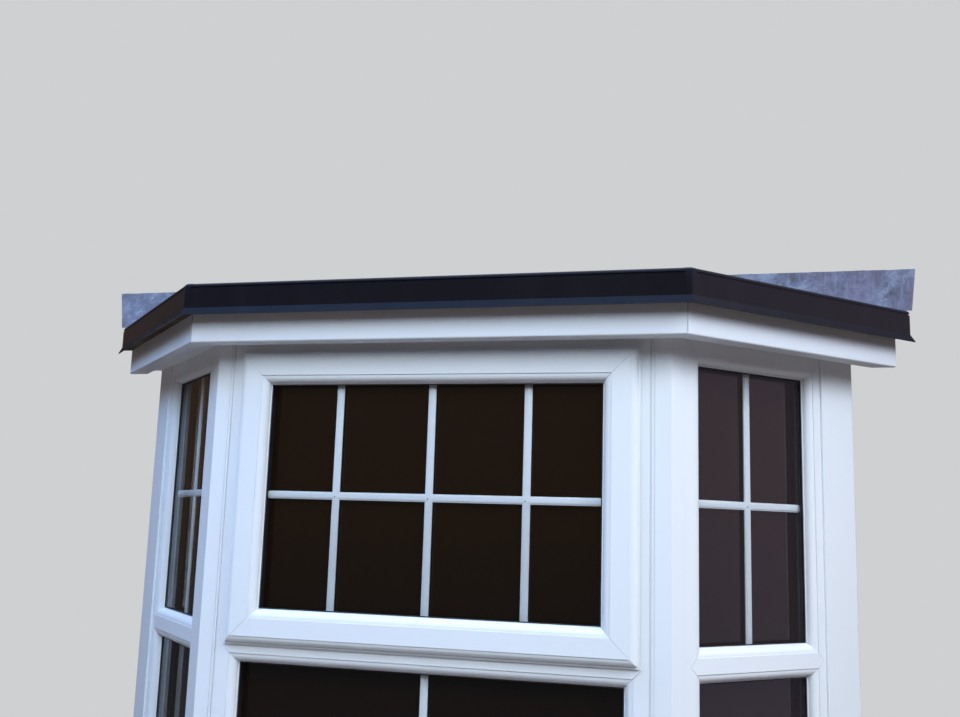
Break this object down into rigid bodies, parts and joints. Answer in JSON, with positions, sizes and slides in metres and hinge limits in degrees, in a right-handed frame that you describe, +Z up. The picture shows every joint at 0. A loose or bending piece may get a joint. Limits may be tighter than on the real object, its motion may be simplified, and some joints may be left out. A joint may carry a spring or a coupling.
{
  "type": "canted bay window",
  "caption": "White plastic three-sided bay window with a top-hung front light, brick dwarf wall, moulded frames, white fascia and a low dark roof under a lead flashing.",
  "frame": {"origin": "centre of the part's box at ground level, under the brick dwarf wall", "axes": "+Z up, +X to the right seen from the street, +Y into the house; the plane of the house wall is the part's back face"},
  "size_m": [2.0652, 0.473, 2.264],
  "materials": {
    "brickwork": "red-brown fired clay bricks in Flemish bond with pale mortar",
    "white_plastic": "smooth white plastic, slightly dusty",
    "glass": "clear sealed double glazing",
    "spacer_metal": "dark bronze, satin",
    "rubber": "matt black rubber",
    "timber": "sawn softwood",
    "deck_board": "pressed strand board",
    "painted_board": "white paint",
    "roof_resin": "dark grey glass-fibre resin, low gloss",
    "lead": "weathered sheet lead with blue-grey patina"
  },
  "bodies": {
    "root": {"dwarf_wall_front": "brickwork", "dwarf_wall_left": "brickwork", "dwarf_wall_right": "brickwork", "cill_front": "white_plastic", "cill_left": "white_plastic", "cill_right": "white_plastic", "cill_corner_covers": "white_plastic", "front_frame_rails": "white_plastic", "front_frame_stiles": "white_plastic", "left_frame_rails": "white_plastic", "left_frame_stiles": "white_plastic", "right_frame_rails": "white_plastic", "right_frame_stiles": "white_plastic", "sash_rails": "white_plastic", "sash_stiles": "white_plastic", "sash_seal": "rubber", "sash_handle": "white_plastic", "sash_glass": "glass", "front_lower_glass": "glass", "left_upper_glass": "glass", "left_lower_glass": "glass", "right_upper_glass": "glass", "right_lower_glass": "glass", "glass_spacers": "spacer_metal", "glazing_beads": "white_plastic", "left_bay_post": "white_plastic", "right_bay_post": "white_plastic", "wall_jamb_posts": "timber", "cover_trims": "white_plastic", "window_board": "painted_board", "ceiling_board": "painted_board", "roof_rim": "timber", "roof_joists": "timber", "ledger": "timber", "soffit": "white_plastic", "fascia_front": "white_plastic", "fascia_left": "white_plastic", "fascia_right": "white_plastic", "roof_deck": "deck_board", "drip_battens": "timber", "roof_skin": "roof_resin", "drip_trim_front": "roof_resin", "drip_trim_left": "roof_resin", "drip_trim_right": "roof_resin", "lead_flashing": "lead"}
  },
  "joints": []
}
